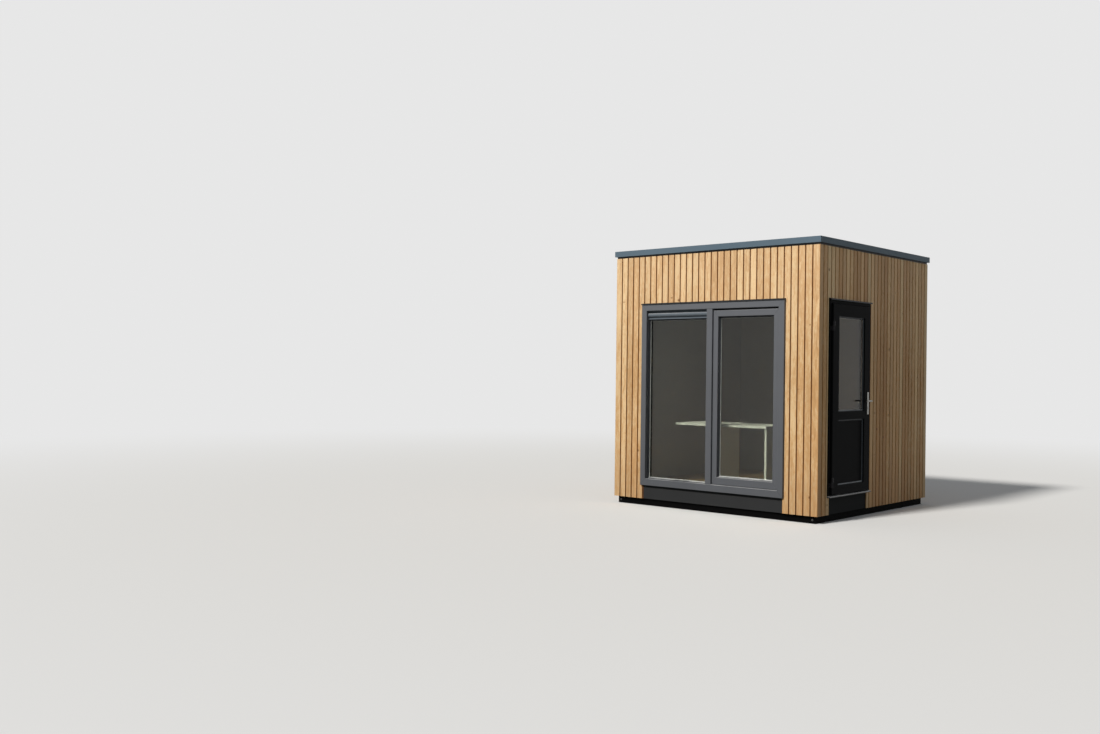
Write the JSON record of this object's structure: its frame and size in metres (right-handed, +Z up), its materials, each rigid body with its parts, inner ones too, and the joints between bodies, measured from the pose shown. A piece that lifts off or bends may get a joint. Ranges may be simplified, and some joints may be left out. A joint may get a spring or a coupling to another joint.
{
  "type": "garden office pod",
  "caption": "Square flat-roofed garden office pod: vertical timber boards, a wide front window with a fixed and an opening light, and a part-glazed side door that opens outwards.",
  "frame": {"origin": "on the ground, at the middle of the underside of the base", "axes": "+Z up, -Y out of the window wall, +X out of the door wall"},
  "size_m": [2.797, 2.74, 3],
  "materials": {
    "timber_boards": "clear oiled softwood boards",
    "anthracite_metal": "satin anthracite grey coating",
    "black_paint": "satin near-black paint",
    "black_metal": "matt black coating",
    "wall_panel": "insulated timber panel with a pale painted lining",
    "floor_boards": "matt oak boarding",
    "glass": "clear double glazing",
    "bright_metal": "brushed stainless steel",
    "aluminium": "mill aluminium",
    "roof_rubber": "matt rubber sheet",
    "white_board": "white laminated board"
  },
  "bodies": {
    "pod": {"plinth_bearers": "black_metal", "plinth_ends": "black_metal", "floor_panel": "wall_panel", "floor_boarding": "floor_boards", "left_wall": "wall_panel", "back_wall": "wall_panel", "front_wall_sides": "wall_panel", "front_wall_head": "wall_panel", "door_wall_front": "wall_panel", "door_wall_rear": "wall_panel", "door_wall_head": "wall_panel", "left_cladding": "timber_boards", "back_cladding": "timber_boards", "front_cladding_sides": "timber_boards", "front_cladding_head": "timber_boards", "door_wall_cladding_front": "timber_boards", "door_wall_cladding_rear": "timber_boards", "door_wall_cladding_head": "timber_boards", "cladding_feet": "timber_boards", "apron_panels": "black_paint", "window_posts": "anthracite_metal", "window_rails": "anthracite_metal", "sash_stiles": "anthracite_metal", "sash_rails": "anthracite_metal", "window_stops": "anthracite_metal", "window_glass": "glass", "window_beads": "anthracite_metal", "window_vent": "anthracite_metal", "head_flashings": "black_metal", "door_frame": "black_paint", "door_threshold": "aluminium", "door_hinge_fixed_halves": "black_metal", "roof_panel": "wall_panel", "roof_kerb": "black_metal", "roof_membrane": "roof_rubber", "roof_trims_front_and_back": "anthracite_metal", "roof_trims_right_and_left": "anthracite_metal", "desk_top": "white_board", "desk_panels": "white_board"},
    "door": {"door_leaf": "black_paint", "door_glass": "glass", "door_panel": "black_paint", "door_beads": "black_paint", "door_hinge_leaf_halves": "black_metal", "door_handle_plates": "bright_metal"},
    "lever": {"door_lever": "bright_metal"}
  },
  "joints": [
    {"name": "door_hinge", "type": "hinge", "parent": "pod", "child": "door", "pos_m": [1.386, -1.101, 0.419], "axis": [0, 0, -1], "range_deg": [0, 105]},
    {"name": "door_lever_pivot", "type": "hinge", "parent": "door", "child": "lever", "pos_m": [1.376, -0.292, 1.274], "axis": [1, 0, 0], "range_deg": [0, 40], "stiffness_Nm_per_rad": 1.5, "springref_deg": -28.65}
  ]
}
